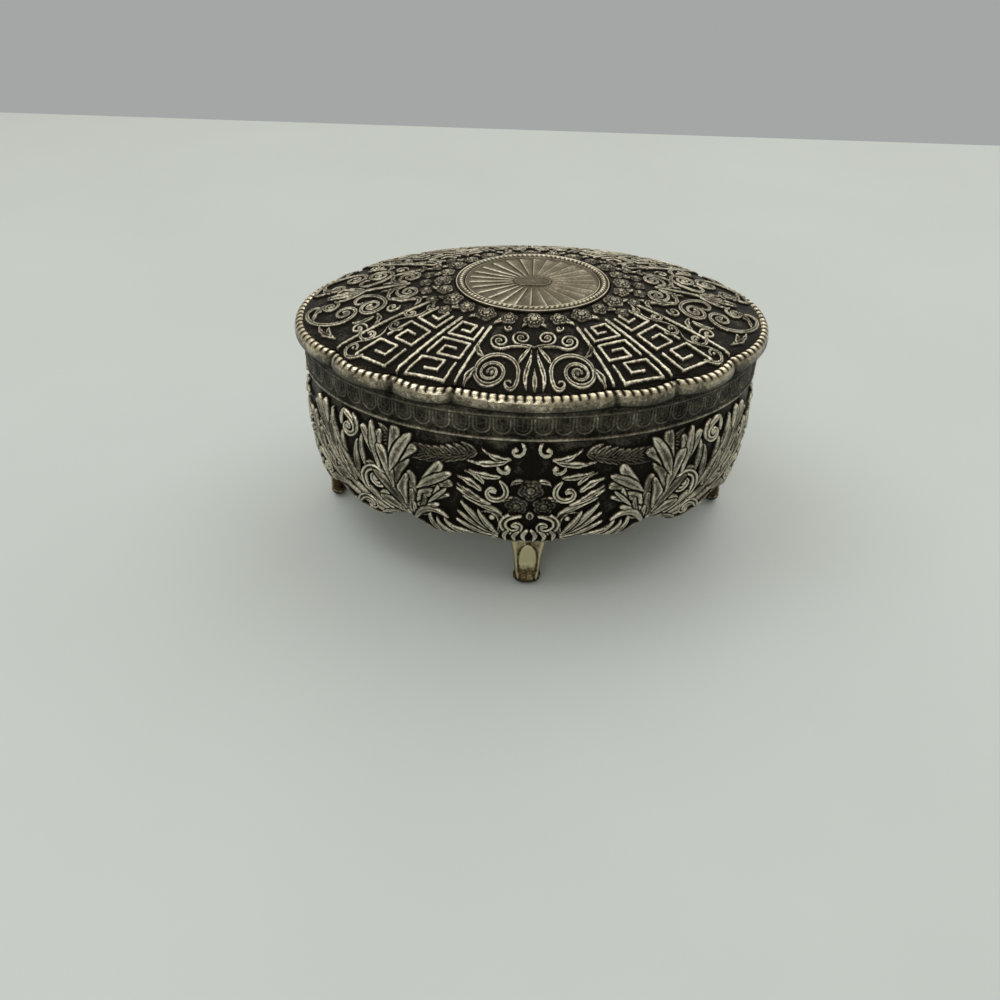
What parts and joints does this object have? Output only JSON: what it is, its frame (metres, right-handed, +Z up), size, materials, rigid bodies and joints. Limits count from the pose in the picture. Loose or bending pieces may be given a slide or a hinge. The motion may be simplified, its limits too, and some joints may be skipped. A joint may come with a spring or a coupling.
{
  "type": "trinket box",
  "caption": "Oval footed trinket box with a domed, hinged lid, a scalloped border, key-pattern panels and scroll feet.",
  "frame": {"origin": "centre of the four feet on the table", "axes": "+Z up, +X along the box to its right, -Y towards the front, hinge at +Y"},
  "size_m": [0.14, 0.1, 0.0783],
  "materials": {
    "cast_silver": "silver plate on cast white metal, oxidised dark in the ground and worn bright on the raised work",
    "satin_silver": "satin silver plate, pale and slightly warm",
    "worn_silver": "silver plate worn to a warm, yellowish bright metal",
    "plain_silver": "plain plated sheet and tube, lightly tarnished",
    "steel": "plain steel",
    "velvet": "short-pile red velvet",
    "card": "grey board"
  },
  "bodies": {
    "box": {"body_shell": "cast_silver", "base_plate": "plain_silver", "foot_front": "worn_silver", "foot_back": "worn_silver", "foot_left": "worn_silver", "foot_right": "worn_silver", "foot_screws": "steel", "hinge_body_tubes": "plain_silver", "hinge_pin": "steel", "wall_lining": "velvet", "floor_card": "card", "floor_velvet": "velvet"},
    "lid": {"lid_shell": "cast_silver", "lid_medallion": "satin_silver", "hinge_lid_tubes": "plain_silver", "lid_card": "card", "lid_velvet": "velvet"}
  },
  "joints": [
    {"name": "lid_hinge", "type": "hinge", "parent": "box", "child": "lid", "pos_m": [0, 0.0479, 0.0634], "axis": [-1, 0, 0], "range_deg": [0, 105]}
  ]
}
